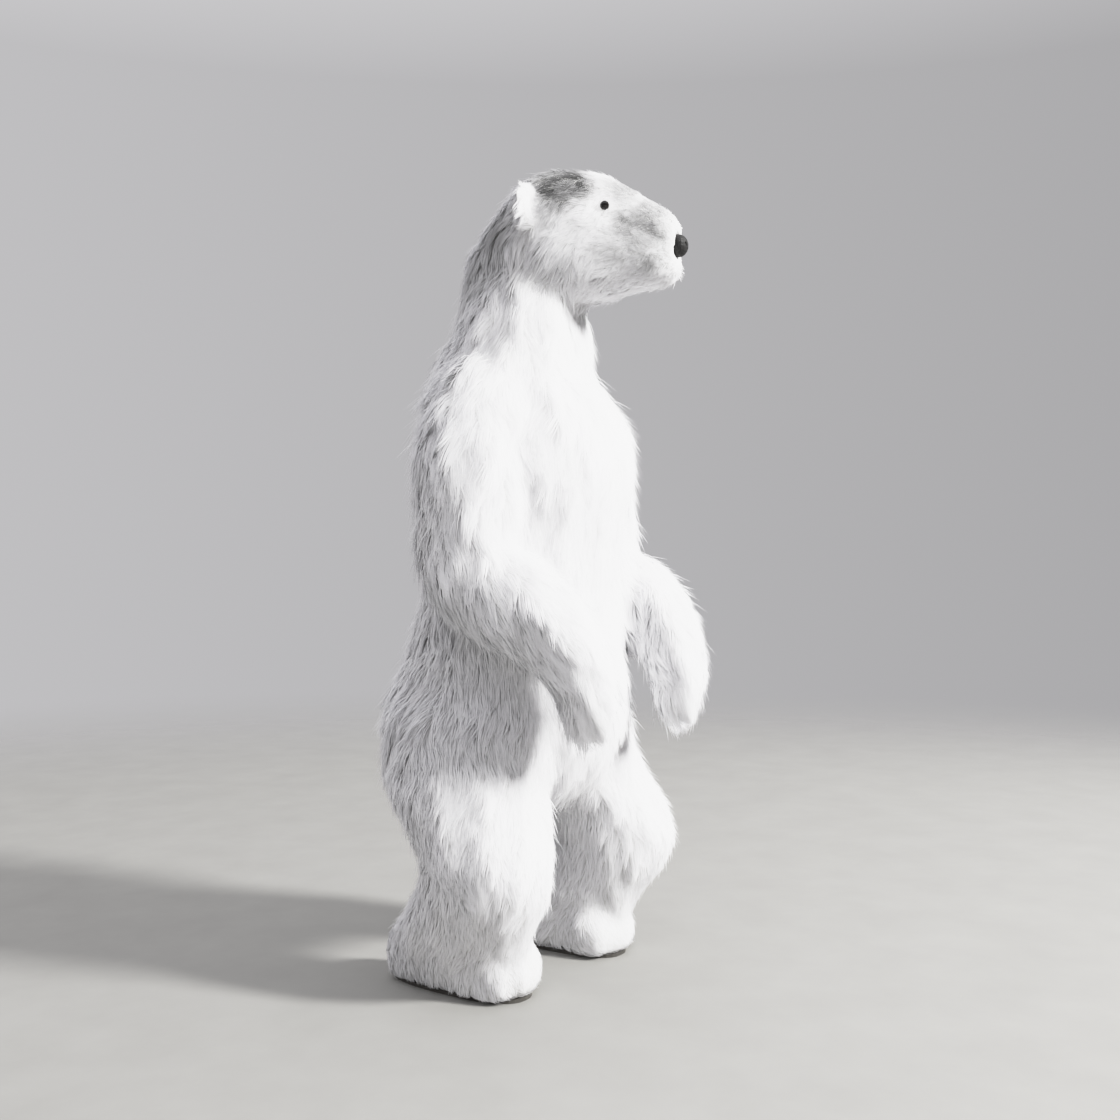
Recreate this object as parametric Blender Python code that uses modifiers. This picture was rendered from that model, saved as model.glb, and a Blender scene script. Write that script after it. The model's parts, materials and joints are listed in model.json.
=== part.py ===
"""Standing polar bear figure: a solid form covered in long white plush, with sewn ears, glass
eyes, a moulded nose and a flat sole under each foot.

Metres, +Z up. The bear faces -Y and its own left is +X. The floor is z = 0. The figure is
modelled round its spine, and at the end the middle of its box is put over the origin. The free
form of the animal is given in hundredths of its stature; the fittings and the soles are given
in their own sizes.
"""

import math
import random

import bmesh
import bpy
import numpy as np
from mathutils import Matrix, Vector, kdtree

# The animal
STATURE = 1.80
HEAD_YAW = math.radians(15)  # the head is turned to the bear's left

# The fittings
SEAT_GAP = 0.0003  # left between a fitting and the piece that carries it
EYE_DIAMETER = 0.021
EYE_SHOWING = 0.55  # the share of the ball's diameter that stands out of the head
NOSE_WIDTH = 0.046
NOSE_HEIGHT = 0.050
NOSE_DEPTH = 0.042
NOSTRIL_WIDTH = 0.010
NOSTRIL_HEIGHT = 0.015
EAR_WIDTH = 0.092
EAR_HEIGHT = 0.128
EAR_THICKNESS = 0.034
EAR_DISH_DEPTH = 0.010
SOLE_THICKNESS = 0.008
SOLE_INSET = 0.013  # how far a sole stays inside the edge of its foot

# The plush
GRAIN = 0.010  # size of the cells that join the limbs into one form
ROUNDING_PASSES = 9
BODY_TRIANGLES = 7400
LOCK_SEED = 11

# A section of a limb, in hundredths of the stature: centre x, y, z, half width, half depth.
TRUNK = (
    (0, 3.0, 20.5, 5.0, 7.0),
    (0, 3.2, 25.0, 11.0, 13.0),
    (0, 2.6, 31.5, 13.6, 15.2),
    (0, 1.6, 38.5, 13.0, 13.8),
    (0, 1.0, 46.0, 11.8, 12.0),
    (0, -0.1, 54.5, 11.6, 12.0),
    (0, -0.5, 62.5, 12.3, 13.0),
    (0, 0.3, 68.6, 11.8, 12.5),
    (0, 1.4, 72.6, 10.6, 11.0),
    (0, 1.5, 75.6, 10.4, 9.1),
    (0, 0.3, 80.5, 8.5, 8.2),
    (0, 0.4, 86.0, 6.8, 7.1),
    (0, 0.2, 91.0, 5.8, 5.9),
    (0, -1.0, 94.5, 3.6, 4.0),
)
LEG = (
    (5.6, 3.4, 37.5, 7.0, 10.0),
    (6.8, 2.6, 33.5, 8.9, 11.8),
    (8.4, 2.0, 28.5, 9.0, 11.2),
    (10.4, 1.0, 24.2, 8.3, 10.0),
    (11.8, -1.7, 20.0, 7.4, 8.8),
    (12.6, -3.8, 16.0, 6.9, 7.9),
    (12.4, -2.8, 12.0, 6.4, 8.2),
    (11.6, 0.0, 8.0, 5.8, 8.9),
    (10.9, 1.8, 4.4, 5.0, 9.6),
    (10.4, 2.6, 1.0, 4.4, 9.4),
)
LEFT_KNEE_LEAD = 1.7  # the left knee is bent further forward than the right
KNEE_HEIGHT = 17.0
KNEE_REACH = 10.0  # how far above and below the knee that bend is felt
ARM = (
    (4.2, 1.2, 76.0, 4.4, 5.2),
    (7.8, 0.8, 71.2, 5.6, 6.5),
    (11.0, -0.2, 64.0, 6.5, 7.1),
    (12.4, -1.0, 57.5, 5.9, 6.5),
    (13.0, -1.5, 52.0, 5.6, 6.1),
    (13.2, -4.2, 48.6, 5.3, 5.7),
    (12.8, -8.4, 46.4, 4.9, 5.3),
    (11.9, -12.4, 43.4, 4.4, 4.8),
    (11.0, -15.0, 39.8, 3.9, 4.1),
    (10.4, -16.1, 36.4, 3.4, 3.4),
    (10.2, -16.2, 33.2, 2.8, 2.7),
    (10.2, -15.9, 31.3, 1.5, 1.5),
)
FOOT = (
    (10.4, 12.2, 2.4, 1.8, 2.2),
    (10.4, 10.4, 2.8, 3.6, 3.9),
    (10.4, 5.6, 3.0, 4.5, 4.9),
    (10.4, -0.6, 2.6, 4.7, 4.5),
    (10.4, -5.0, 2.2, 4.7, 3.9),
    (10.4, -7.2, 1.9, 3.6, 2.9),
)
# The head, from a pivot on the neck: distance ahead, height, half width, half height, and how
# much narrower a section is at its top than at its foot, as a share of its width.
HEAD_PIVOT = (0, -1.1)
HEAD = (
    (-6.2, 89.0, 3.3, 3.0, 0.0),
    (-3.6, 89.8, 5.5, 5.0, 0.0),
    (0.5, 91.6, 7.1, 7.4, 0.1),
    (5.4, 91.6, 7.2, 8.1, 0.15),
    (9.4, 91.3, 6.1, 7.8, 0.25),
    (12.8, 90.7, 4.7, 6.5, 0.3),
    (16.0, 89.8, 3.8, 5.2, 0.3),
    (17.8, 89.4, 3.2, 4.5, 0.25),
    (18.9, 89.1, 2.3, 3.8, 0.15),
    (19.6, 88.9, 1.3, 2.8, 0.0),
)
TOES = 4
TOE_SIZE = (1.7, 3.1, 3.7)  # half width, half length, half height
TOE_ROW = (10.3, -5.5, 2.3)  # middle of the row
TOE_SPREAD = 2.15
TOE_ARCH = 0.8  # how far the outer toes stand behind the inner ones
EYE_PLACE = (11.0, 94.0)  # ahead of the pivot, height
NOSE_PLACE = (19.1, 89.4)  # ahead of the pivot, height
EAR_PLACE = (2.2, 93.7, 7.0)  # ahead of the pivot, height, to the side
HEAD_CLEAR = 20.0  # a distance to the side that is well outside the head
SECTION_POINTS = 28
STEPS_BETWEEN = 5
ROUND_SECTION = 2.15  # power of a section's outline, where 2 is an ellipse
HEAD_SECTION = 2.5
SOLE_SECTION = 2.6
SOLE_POINTS = 40

# Grooves pressed into each side of the head: from and to (ahead, height, aside), width, depth.
EYE_FOLD = ((12.6, 92.2, 4.6), (18.2, 89.9, 3.2), 1.3, 0.55)
MOUTH = ((15.4, 87.1, 4.2), (19.8, 87.3, 0.8), 0.8, 0.45)
GROOVE_POINTS = 12

# Locks of fur: spacing, length, half width and relief, each in hundredths of the stature.
LONG_LOCK = (4.1, 8.2, 2.1, 0.85)
FACE_LOCK = (2.3, 4.2, 1.1, 0.34)
FOOT_LOCK = (2.9, 4.8, 1.4, 0.42)
MUZZLE = (14.0, 90.5)  # ahead of the pivot, height
MUZZLE_REACH = 9.5
ANKLE_HEIGHT = 6.5


def share(value):
    """A length given in hundredths of the stature, in metres."""
    return value * STATURE / 100


def at(x, y, z):
    """A place given in hundredths of the stature."""
    return Vector((share(x), share(y), share(z)))


def material(name, colour, roughness):
    """A Principled material in one colour."""
    made = bpy.data.materials.new(name)
    made.use_nodes = True
    shader = made.node_tree.nodes["Principled BSDF"]
    shader.inputs["Base Color"].default_value = (*colour, 1)
    shader.inputs["Roughness"].default_value = roughness
    return made


def collection(name):
    made = bpy.data.collections.new(name)
    bpy.context.scene.collection.children.link(made)
    return made


def new_object(name, bm, group):
    """The bmesh as an object in the group. The bmesh is freed."""
    mesh = bpy.data.meshes.new(name)
    bm.to_mesh(mesh)
    bm.free()
    made = bpy.data.objects.new(name, mesh)
    group.objects.link(made)
    return made


def as_cutter(obj):
    obj.hide_render = True
    obj.display_type = "WIRE"
    return obj


def evaluated_mesh(obj):
    """The object's mesh with its modifiers applied."""
    graph = bpy.context.evaluated_depsgraph_get()
    return bpy.data.meshes.new_from_object(obj.evaluated_get(graph))


def bake_modifiers(obj):
    """Replaces the object's mesh by what its modifiers make of it."""
    made = evaluated_mesh(obj)
    obj.modifiers.clear()
    obj.data = made
    return obj


def cut(obj, cutter):
    modifier = obj.modifiers.new("Cut", "BOOLEAN")
    modifier.operation = "DIFFERENCE"
    modifier.object = cutter
    return bake_modifiers(obj)


def between(sections, steps):
    """Sections on a smooth curve through the given ones, steps to each span (Catmull-Rom)."""
    keys = [np.array(s, float) for s in sections]
    made = []
    for i, (here, after) in enumerate(zip(keys, keys[1:])):
        before = keys[max(i - 1, 0)]
        beyond = keys[min(i + 2, len(keys) - 1)]
        for k in range(steps):
            t = k / steps
            line = 2 * here + (after - before) * t
            curve = (2 * before - 5 * here + 4 * after - beyond) * t**2
            turn = (3 * here - before - 3 * after + beyond) * t**3
            made.append((line + curve + turn) / 2)
    made.append(keys[-1])
    return made


def squircle(turn, power):
    """A point of the unit outline |x|^power + |y|^power = 1."""
    c, s = math.cos(turn), math.sin(turn)
    x = math.copysign(abs(c) ** (2 / power), c)
    y = math.copysign(abs(s) ** (2 / power), s)
    return x, y


def section(centre, across, along, half_width, half_depth, power=ROUND_SECTION, taper=0):
    """Points round a section of a limb. Taper narrows it towards the end it faces along."""
    points = []
    for k in range(SECTION_POINTS):
        x, y = squircle(2 * math.pi * k / SECTION_POINTS, power)
        x *= 1 - taper * (y + 1) / 2
        points.append(centre + across * half_width * x + along * half_depth * y)
    return points


def loft(bm, rings):
    """A closed skin through rings of points, each end closed by a fan."""
    rows = [[bm.verts.new(p) for p in ring] for ring in rings]
    count = len(rows[0])
    for low, high in zip(rows, rows[1:]):
        for k in range(count):
            after = (k + 1) % count
            bm.faces.new((low[k], low[after], high[after], high[k]))
    for row in (rows[0], rows[-1]):
        middle = bm.verts.new(sum((v.co for v in row), Vector()) / count)
        for k in range(count):
            bm.faces.new((row[k], row[(k + 1) % count], middle))


def level_limb(bm, sections, side=1):
    """A limb with level sections: the trunk and the legs."""
    across, along = Vector((1, 0, 0)), Vector((0, 1, 0))
    rings = []
    for x, y, z, half_width, half_depth in between(sections, STEPS_BETWEEN):
        centre = at(side * x, y, z)
        rings.append(section(centre, across, along, share(half_width), share(half_depth)))
    loft(bm, rings)


def square_limb(bm, sections, side=1):
    """A limb whose sections stand square to its own line: the arms and the feet."""
    found = between(sections, STEPS_BETWEEN)
    centres = [at(side * s[0], s[1], s[2]) for s in found]
    rings = []
    for i, s in enumerate(found):
        line = centres[min(i + 1, len(centres) - 1)] - centres[max(i - 1, 0)]
        along = line.cross(Vector((1, 0, 0))).normalized()
        across = along.cross(line).normalized()
        rings.append(section(centres[i], across, along, share(s[3]), share(s[4])))
    loft(bm, rings)


def leg_sections(side):
    """The leg's sections, with the left knee brought forward."""
    found = []
    for x, y, z, half_width, half_depth in LEG:
        felt = max(0, 1 - ((z - KNEE_HEIGHT) / KNEE_REACH) ** 2)
        lead = LEFT_KNEE_LEAD * felt if side > 0 else 0
        found.append((x, y - lead, z, half_width, half_depth))
    return found


def head_turn():
    return Matrix.Rotation(HEAD_YAW, 4, "Z")


def on_head(ahead, height, aside=0):
    """A place on the head, which looks along its own -Y from its pivot."""
    return at(*HEAD_PIVOT, 0) + head_turn() @ at(aside, -ahead, height)


def head(bm):
    """The skull and muzzle, in sections that stand square to the line of sight."""
    across, up = head_turn() @ Vector((1, 0, 0)), Vector((0, 0, 1))
    rings = []
    for ahead, height, half_width, half_height, taper in between(HEAD, STEPS_BETWEEN):
        centre = on_head(ahead, height)
        width, tall = share(half_width), share(half_height)
        rings.append(section(centre, across, up, width, tall, HEAD_SECTION, taper))
    loft(bm, rings)


def ellipsoid(bm, centre, half_sizes, segments=20):
    """A ball stretched to three half sizes."""
    place = Matrix.Translation(centre) @ Matrix.Diagonal((*half_sizes, 1))
    bmesh.ops.create_uvsphere(
        bm, u_segments=segments, v_segments=segments // 2, radius=1, matrix=place
    )


def toes(bm, side):
    """A row of rounded toes along the front of a foot."""
    x, y, z = TOE_ROW
    middle = (TOES - 1) / 2
    for k in range(TOES):
        place = k - middle
        back = TOE_ARCH * (place / middle) ** 2
        centre = at(side * (x + place * TOE_SPREAD), y + back, z)
        ellipsoid(bm, centre, [share(s) for s in TOE_SIZE])


def joined_form(group):
    """Trunk, limbs and head as one closed form, rounded where they meet."""
    bm = bmesh.new()
    level_limb(bm, TRUNK)
    head(bm)
    for side in (-1, 1):
        level_limb(bm, leg_sections(side), side)
        square_limb(bm, ARM, side)
        square_limb(bm, FOOT, side)
        toes(bm, side)
    bmesh.ops.recalc_face_normals(bm, faces=bm.faces)
    form = new_object("fur_body", bm, group)
    cells = form.modifiers.new("Join", "REMESH")
    cells.mode = "VOXEL"
    cells.voxel_size = GRAIN
    rounding = form.modifiers.new("Round", "SMOOTH")
    rounding.factor = 0.5
    rounding.iterations = ROUNDING_PASSES
    return bake_modifiers(form)


def lines_of_growth():
    """The lines along which the fur grows, each as (from, to, reach)."""
    lines = []

    def path(points, reach):
        for start, end in zip(points, points[1:]):
            lines.append((start, end, share(reach)))

    path([at(0, 1, 96), at(0, 1, 80), at(0, 0, 62), at(0, 2, 30)], 12)
    path([on_head(20, 89.5), on_head(10, 92), on_head(-5, 91)], 6)
    for side in (-1, 1):
        path([at(side * s[0], s[1], s[2]) for s in ARM], 6)
        path([at(side * s[0], s[1], s[2]) for s in LEG], 9)
        path([at(side * s[0], s[1], s[2]) for s in FOOT], 5)
    return lines


def growth_at(point, normal, lines):
    """The way the fur lies at a point of the surface, as a unit vector along it."""
    total = Vector()
    for start, end, reach in lines:
        line = end - start
        t = max(0.0, min(1.0, (point - start).dot(line) / line.length_squared))
        away = (point - (start + line * t)).length / reach
        total += line.normalized() / (0.05 + away**4)
    total -= normal * total.dot(normal)
    return total.normalized() if total.length > 1e-6 else Vector((0, 0, -1))


def lock_at(point):
    """The size of the locks here: short on the face and the feet, long elsewhere."""
    if (point - on_head(*MUZZLE)).length < share(MUZZLE_REACH):
        return FACE_LOCK
    if point.z < share(ANKLE_HEIGHT):
        return FOOT_LOCK
    return LONG_LOCK


def lock_roots(points):
    """Points to root a lock at, no two nearer than the local spacing."""
    order = list(range(len(points)))
    random.Random(LOCK_SEED).shuffle(order)
    tree = kdtree.KDTree(len(points))
    for index, point in enumerate(points):
        tree.insert(point, index)
    tree.balance()
    free = [True] * len(points)
    roots = []
    for index in order:
        if free[index]:
            roots.append(index)
            for _, other, _ in tree.find_range(points[index], share(lock_at(points[index])[0])):
                free[other] = False
    return roots, tree


def carve_locks(form):
    """Raises overlapping pointed locks of fur, each thickest just before its tip."""
    lines = lines_of_growth()
    points = np.array([v.co for v in form.data.vertices])
    normals = np.array([v.normal for v in form.data.vertices])
    roots, tree = lock_roots([Vector(p) for p in points])
    relief = np.zeros(len(points))
    for index in roots:
        root, normal = Vector(points[index]), Vector(normals[index])
        _, length, half_width, height = (share(s) for s in lock_at(root))
        growth = growth_at(root, normal, lines)
        aside = normal.cross(growth)
        near = [i for _, i, _ in tree.find_range(root + growth * length / 2, length * 0.75)]
        offset = points[near] - points[index]
        along = offset @ np.array(growth) / length
        across = np.abs(offset @ np.array(aside)) / half_width
        facing = normals[near] @ np.array(normal) > 0.2
        width = np.sqrt(np.clip(1 - along**2, 1e-9, 1))
        inside = (along > 0) & (along < 1) & (across < width) & facing
        bulge = height * along * (1 - (across / width) ** 2)
        relief[near] = np.maximum(relief[near], np.where(inside, bulge, 0))
    moved = points + normals * relief[:, None]
    form.data.vertices.foreach_set("co", moved.ravel())
    form.data.update()


def press_groove(form, groove):
    """Presses a shallow groove with soft edges into both sides of the head."""
    start, end, width, depth = groove
    points = np.array([v.co for v in form.data.vertices])
    normals = np.array([v.normal for v in form.data.vertices])
    nearest = np.full(len(points), share(width))
    for side in (-1, 1):
        for k in range(GROOVE_POINTS):
            t = k / (GROOVE_POINTS - 1)
            ahead, height, aside = (a + (b - a) * t for a, b in zip(start, end))
            middle = np.array(on_head(ahead, height, side * aside))
            nearest = np.minimum(nearest, np.linalg.norm(points - middle, axis=1))
    pressed = (1 - (nearest / share(width)) ** 2) * share(depth)
    form.data.vertices.foreach_set("co", (points - normals * pressed[:, None]).ravel())
    form.data.update()


def thin_out(form, triangles):
    """Fewer faces, kept where the carving turns most."""
    form.data.calc_loop_triangles()
    fewer = form.modifiers.new("Thin", "DECIMATE")
    fewer.ratio = triangles / len(form.data.loop_triangles)
    return bake_modifiers(form)


def cut_level(form, height):
    """Cuts the form off flat at a height, and closes it there."""
    bm = bmesh.new()
    bm.from_mesh(form.data)
    made = bmesh.ops.bisect_plane(
        bm,
        geom=bm.verts[:] + bm.edges[:] + bm.faces[:],
        dist=1e-5,
        plane_co=(0, 0, height),
        plane_no=(0, 0, -1),
        clear_outer=True,
    )
    edges = [e for e in made["geom_cut"] if isinstance(e, bmesh.types.BMEdge)]
    bmesh.ops.holes_fill(bm, edges=edges, sides=0)
    bmesh.ops.triangulate(bm, faces=bm.faces)
    bmesh.ops.recalc_face_normals(bm, faces=bm.faces)
    bm.to_mesh(form.data)
    bm.free()
    return form


def sole(name, side, group, finish):
    """A flat sole under one foot, following the foot's own plan at a small inset."""
    centre_x = FOOT[0][0]
    toe_end = TOE_ROW[1] - TOE_SIZE[1]
    heel_end = FOOT[0][1]
    half_length = share(heel_end - toe_end) / 2 - SOLE_INSET
    half_width = share(max(s[3] for s in FOOT)) - SOLE_INSET
    flat = bpy.data.curves.new(name, "CURVE")
    flat.dimensions = "2D"
    flat.fill_mode = "BOTH"
    flat.extrude = SOLE_THICKNESS / 2
    line = flat.splines.new("POLY")
    line.points.add(SOLE_POINTS - 1)
    for k, point in enumerate(line.points):
        x, y = squircle(2 * math.pi * k / SOLE_POINTS, SOLE_SECTION)
        point.co = (half_width * x, half_length * y, 0, 1)
    line.use_cyclic_u = True
    made = bpy.data.objects.new(name, flat)
    made.location = at(side * centre_x, (heel_end + toe_end) / 2, 0)
    made.location.z = SOLE_THICKNESS / 2
    made.data.materials.append(finish)
    group.objects.link(made)
    return made


def side_of_head(form, ahead, height, side):
    """Where a level line from outside, square to the head, first meets its fur."""
    inward = head_turn() @ Vector((-side, 0, 0))
    _, place, _, _ = form.ray_cast(on_head(ahead, height, side * HEAD_CLEAR), inward)
    return place, inward


def eye(name, side, form, group, finish):
    """A glass ball, set into the side of the head."""
    radius = EYE_DIAMETER / 2
    bm = bmesh.new()
    ellipsoid(bm, Vector(), (radius, radius, radius), segments=14)
    made = new_object(name, bm, group)
    place, inward = side_of_head(form, *EYE_PLACE, side)
    made.location = place + inward * EYE_DIAMETER * (0.5 - EYE_SHOWING)
    made.data.materials.append(finish)
    made.data.shade_smooth()
    return made


def nose(group, cutters, finish):
    """A moulded nose pad: a flattened ball, narrower below, with two nostrils pressed in."""
    half = (NOSE_WIDTH / 2, NOSE_DEPTH / 2, NOSE_HEIGHT / 2)
    bm = bmesh.new()
    ellipsoid(bm, Vector(), half, segments=18)
    for v in bm.verts:
        v.co.x *= 1 + 0.22 * v.co.z / half[2]
    made = new_object("nose", bm, group)
    made.matrix_world = Matrix.Translation(on_head(*NOSE_PLACE)) @ head_turn()
    for side in (-1, 1):
        bm = bmesh.new()
        centre = Vector((side * NOSE_WIDTH * 0.24, -half[1], 0))
        ellipsoid(bm, centre, (NOSTRIL_WIDTH / 2, NOSE_DEPTH * 0.16, NOSTRIL_HEIGHT / 2), 10)
        hollow = as_cutter(new_object("nostril_cutter", bm, cutters))
        hollow.matrix_world = made.matrix_world
        cut(made, hollow)
    made.data.materials.append(finish)
    made.data.shade_smooth()
    return made


def ear(name, side, group, cutters, finish):
    """A dished oval ear, leaning outwards, with its foot inside the head."""
    half = (EAR_WIDTH / 2, EAR_THICKNESS / 2, EAR_HEIGHT / 2)
    bm = bmesh.new()
    ellipsoid(bm, Vector(), half, segments=16)
    made = new_object(name, bm, group)
    turned_out = Matrix.Rotation(side * math.radians(14), 4, "Z")
    leaning_out = Matrix.Rotation(side * math.radians(20), 4, "Y")
    leaning_back = Matrix.Rotation(math.radians(-6), 4, "X")
    centre = on_head(EAR_PLACE[0], EAR_PLACE[1], side * EAR_PLACE[2])
    turn = head_turn() @ turned_out @ leaning_out @ leaning_back
    made.matrix_world = Matrix.Translation(centre) @ turn
    bm = bmesh.new()
    dish_depth = EAR_DISH_DEPTH * 2
    dish_centre = Vector((0, -half[1] - dish_depth + EAR_DISH_DEPTH, half[2] * 0.12))
    ellipsoid(bm, dish_centre, (half[0] * 0.62, dish_depth, half[2] * 0.62), 12)
    dish = as_cutter(new_object("dish_" + name, bm, cutters))
    dish.matrix_world = made.matrix_world
    cut(made, dish)
    made.data.materials.append(finish)
    made.data.shade_smooth()
    return made


def socket_for(fitting, group):
    """A cutter with the fitting's own shape, larger all round by the seat gap."""
    bm = bmesh.new()
    bm.from_mesh(fitting.data)
    bm.normal_update()
    grown = [v.co + v.normal * SEAT_GAP * 1.5 for v in bm.verts]
    for vertex, place in zip(bm.verts, grown):
        vertex.co = place
    made = new_object("socket_" + fitting.name, bm, group)
    made.matrix_world = fitting.matrix_world
    return as_cutter(made)


def centre_over_origin(group, cutters):
    """Moves everything alike, so that the middle of the figure's box is over the origin."""
    solids = [obj for obj in group.objects if obj.type == "MESH"]
    points = np.array([obj.matrix_world @ v.co for obj in solids for v in obj.data.vertices])
    middle = (points.min(axis=0) + points.max(axis=0)) / 2
    for obj in (*group.objects, *cutters.objects):
        obj.location -= Vector((middle[0], middle[1], 0))


def build():
    for obj in list(bpy.data.objects):
        bpy.data.objects.remove(obj)
    bear = collection("polar_bear")
    cutters = collection("cutters")
    plush = material("white plush", (0.86, 0.86, 0.85), 0.95)
    glass = material("black glass", (0.008, 0.008, 0.009), 0.06)
    moulded = material("black moulded nose", (0.022, 0.022, 0.023), 0.45)
    felt = material("dark sole felt", (0.07, 0.065, 0.06), 0.9)

    form = joined_form(bear)
    press_groove(form, EYE_FOLD)
    press_groove(form, MOUTH)
    carve_locks(form)
    thin_out(form, BODY_TRIANGLES)
    cut_level(form, SOLE_THICKNESS + SEAT_GAP)
    bpy.context.view_layer.update()

    fittings = [nose(bear, cutters, moulded)]
    for side, word in ((1, "left"), (-1, "right")):
        fittings.append(eye(word + "_eye", side, form, bear, glass))
        fittings.append(ear(word + "_ear", side, bear, cutters, plush))
        sole(word + "_sole", side, bear, felt)
    bpy.context.view_layer.update()
    for fitting in fittings:
        cut(form, socket_for(fitting, cutters))
    form.data.materials.clear()
    form.data.materials.append(plush)
    form.data.shade_smooth()
    centre_over_origin(bear, cutters)


build()
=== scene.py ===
"""Standing polar bear in long white plush: the looks of the figure, its studio and its camera.

Metres, +Z up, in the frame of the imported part: the bear faces -Y and its own left is +X.
Places on the animal are given in hundredths of its stature, from the foot of its spine.
"""

import json
import math

import bmesh
import bpy
import numpy as np
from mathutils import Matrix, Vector

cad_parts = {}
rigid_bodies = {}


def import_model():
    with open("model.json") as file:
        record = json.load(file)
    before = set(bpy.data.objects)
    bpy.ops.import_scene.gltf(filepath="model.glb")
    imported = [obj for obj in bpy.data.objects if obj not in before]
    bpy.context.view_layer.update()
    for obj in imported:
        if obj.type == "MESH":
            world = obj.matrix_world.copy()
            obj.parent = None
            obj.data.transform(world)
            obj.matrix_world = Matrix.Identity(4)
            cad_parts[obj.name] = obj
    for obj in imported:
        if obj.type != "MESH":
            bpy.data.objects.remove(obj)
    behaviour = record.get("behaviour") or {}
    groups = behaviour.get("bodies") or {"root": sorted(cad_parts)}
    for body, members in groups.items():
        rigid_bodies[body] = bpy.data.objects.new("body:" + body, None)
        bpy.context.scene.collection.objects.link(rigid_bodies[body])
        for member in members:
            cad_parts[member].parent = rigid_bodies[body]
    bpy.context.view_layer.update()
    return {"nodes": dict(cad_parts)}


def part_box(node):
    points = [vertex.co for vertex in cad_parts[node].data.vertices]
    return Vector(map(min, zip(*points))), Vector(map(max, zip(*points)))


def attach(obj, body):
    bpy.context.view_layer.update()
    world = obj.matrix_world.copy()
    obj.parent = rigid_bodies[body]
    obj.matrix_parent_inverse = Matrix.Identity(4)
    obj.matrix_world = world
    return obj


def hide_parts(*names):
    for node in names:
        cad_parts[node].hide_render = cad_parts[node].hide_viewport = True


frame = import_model()

# The animal
STATURE = 1.80
SOLE_BEHIND = 0.0324  # the middle of a sole is this far behind the spine

# The camera, measured against the photograph
CAMERA_TURN = math.radians(-55)  # 0 looks along +Y
CAMERA_DISTANCE = 2.9  # from the spine
CAMERA_HEIGHT = 0.924
CAMERA_ASIDE = 0.08
SENSOR = 36.0
LENS = SENSOR * 1270 / 1120

# The studio
KEY_PLACE = (6.45, 2.45, 5.0)  # from the spine: to the camera's right, towards it, and up
KEY_AIM = 1.0  # the height that the lamp looks at
KEY_SIZE = 1.3
KEY_POWER = 1350
KEY_COLOUR = (1.0, 0.99, 0.97)
LET_THROUGH = 0.55  # the share of the lamp's light that long white hairs pass on
STUDIO_GREY = (1.0, 0.99, 1.015)
BACKDROP_LIGHT = 0.47  # how bright the studio is behind the bear
BACKDROP_FALL = 0.15  # how much darker the backdrop gets from the left to the right
ROOM_LIGHT = 0.27  # how bright the room is on the camera's side
ROOM_FALL = 0.1  # how much darker the room gets from the left to the right
ROOM_FROM, ROOM_WHOLE = -0.4, 0.5  # where the backdrop goes over into the room
CEILING_LIGHT = 1.2
CEILING_FROM = 0.35  # how far up the ceiling's light starts
FLOOR_RADIUS = 9.0
FLOOR_FADE = (2.6, 6.5)  # where the floor starts to fade into the studio, and where it has gone

# The picture's highlights: as shot up to the knee, then rolled off towards the whitest
KNEE = 0.45
WHITEST = 0.94
BRIGHTEST = 3.0
CURVE_PLACES = (0.05, 0.1, 0.15, 0.2, 0.25, 0.3, 0.4, 0.5, 0.65, 0.8)  # shares of the brightest

# The hide under the fur
HIDE_CELL = 0.011
HIDE_ROUNDING = 8
FOLD_HEIGHTS = (0.62, 0.95)  # between these heights the narrow folds of the hide are filled
FOLD_FILLING = 40  # how many times they are lifted
FOLD_STEP = 0.6
PILE_DEPTH = 0.19  # how deep the hide lies under the carved form, as a share of the pile
LIFT = 0.17  # how far a lock's tip stands off the hide, as a share of the pile
MUZZLE_LIFT = 0.55
CHEST_SHORTER = 0.2  # how much shorter the pile is where it faces ahead
SIDES = (-1, 1)

# Lines along which the fur grows: x, y, z, reach, and the length of the pile in millimetres.
NAPE_TO_RUMP = (
    (0, 1.0, 96, 9, 48),
    (0, 1.0, 84, 10, 66),
    (0, 1.0, 74, 12, 82),
    (0, 0.0, 60, 13, 88),
    (0, 2.0, 44, 14, 88),
    (0, 3.0, 30, 14, 72),
)
SHOULDER_TO_PAW = (
    (6.0, 1.2, 73.0, 6, 78),
    (11.0, -0.2, 64.0, 6, 78),
    (13.0, -1.5, 52.0, 6, 72),
    (12.8, -8.4, 46.4, 6, 64),
    (11.0, -15.0, 39.8, 5, 62),
    (10.2, -16.0, 30.5, 4, 66),
)
HIP_TO_ANKLE = (
    (6.8, 2.6, 33.5, 9, 68),
    (10.4, 1.0, 24.2, 9, 60),
    (12.6, -3.8, 16.0, 8, 48),
    (11.8, -0.5, 9.0, 8, 38),
    (10.8, 2.0, 5.5, 6, 32),
)
HEEL_TO_TOE = (
    (10.4, 12.5, 3.6, 5, 24),
    (10.4, 3.0, 3.4, 5, 17),
    (10.4, -8.8, 2.2, 5, 9),
)
# On the head the places are ahead of the eyes and above them, in hundredths too.
MUZZLE_TO_NAPE = ((8.6, -4.6, 6, 11), (2, -1.5, 7, 15), (-7, -2.5, 7, 26), (-16, -5, 6, 38))
MUZZLE_FRONT = (7.6, -5.0)  # round here the hairs stand out from the skin
MUZZLE_REACH = 4.2
MUZZLE_EDGE = 1.4  # where that has faded, in shares of the reach
DROOP = 0.25  # how much the fur hangs down, besides following the lines
MUZZLE_DROOP = 0.6
EAR_PILE = (0.016, 0.012)  # at the foot and at the tip, in metres
EAR_REACH = 0.28  # a share of the ear's height
LINE_CORE = 0.05  # keeps what a line gives finite on the line itself

# Where the pile is longer or shorter: ahead, above, reach, and by which share.
TUFTS = ((8.2, -7.6, 1.7, 1.3), (8.2, -3.0, 1.3, 0.8), (-1.8, -11.5, 2.6, -0.55))
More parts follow.
